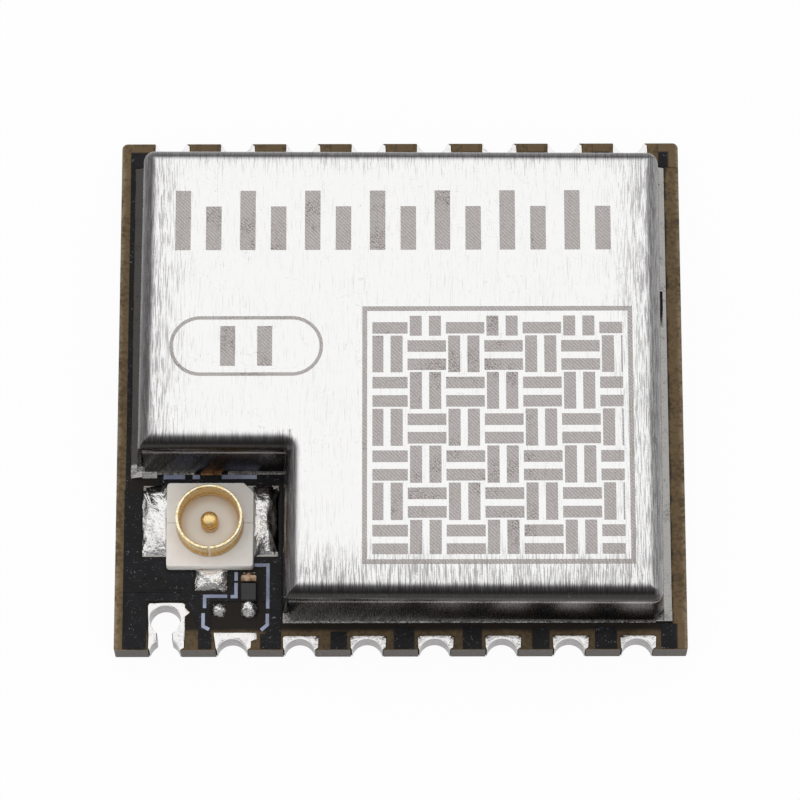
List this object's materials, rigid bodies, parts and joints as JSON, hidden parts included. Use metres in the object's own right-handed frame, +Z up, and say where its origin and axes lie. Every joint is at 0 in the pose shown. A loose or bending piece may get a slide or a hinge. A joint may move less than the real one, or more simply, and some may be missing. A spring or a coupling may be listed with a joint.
{
  "type": "shielded radio module",
  "caption": "Flat surface-mount radio module: black circuit board with half-round edge pads, an L-shaped folded shield can and a small coaxial antenna socket in the open corner.",
  "frame": {"origin": "centre of the board's underside, where the part rests on the board that carries it", "axes": "+Z up out of the shield can's lid, +X along the rows of edge pads, +Y towards the back row; the antenna socket is at the front left"},
  "size_m": [0.017, 0.016, 0.0032],
  "materials": {
    "laminate": "glass-epoxy laminate under black solder mask, satin",
    "masked_copper": "copper under black solder mask, satin",
    "tinned_copper": "tinned copper, bright and slightly uneven",
    "bare_trace": "bare copper, dull",
    "print_ink": "pale printed ink",
    "can_sheet": "thin bright plated sheet with fine lines",
    "solder": "reflowed solder, bright",
    "insulator": "ivory moulded insulator",
    "gold_contact": "gold-plated contact, bright",
    "chip_ceramic": "brown fired ceramic",
    "white_ceramic": "white fired ceramic",
    "moulded_plastic": "black moulding compound",
    "ferrite": "dark grey ferrite"
  },
  "bodies": {
    "root": {"circuit_board": "laminate", "castellated_pads": "tinned_copper", "wide_pad": "tinned_copper", "keyhole_pad": "tinned_copper", "copper_areas": "masked_copper", "antenna_trace": "bare_trace", "silkscreen_lines": "print_ink", "can_land": "tinned_copper", "shield_can": "can_sheet", "can_solder": "solder", "socket_body": "insulator", "socket_shell": "gold_contact", "socket_pin": "gold_contact", "socket_lands": "bare_trace", "socket_ground_solder": "solder", "socket_signal_solder": "solder", "selector_body": "chip_ceramic", "selector_terminals": "tinned_copper", "selector_solder": "solder", "selector_lands": "bare_trace", "transceiver": "moulded_plastic", "transceiver_pads": "tinned_copper", "oscillator_base": "white_ceramic", "oscillator_lid": "can_sheet", "antenna_switch": "moulded_plastic", "switch_leads": "tinned_copper", "power_inductor": "ferrite", "power_inductor_terminals": "tinned_copper", "capacitor_bodies": "chip_ceramic", "capacitor_terminals": "tinned_copper", "resistor_bodies": "moulded_plastic", "resistor_terminals": "tinned_copper", "filter_coils": "white_ceramic", "filter_coil_terminals": "tinned_copper", "component_lands": "bare_trace", "component_solder": "solder"}
  },
  "joints": []
}
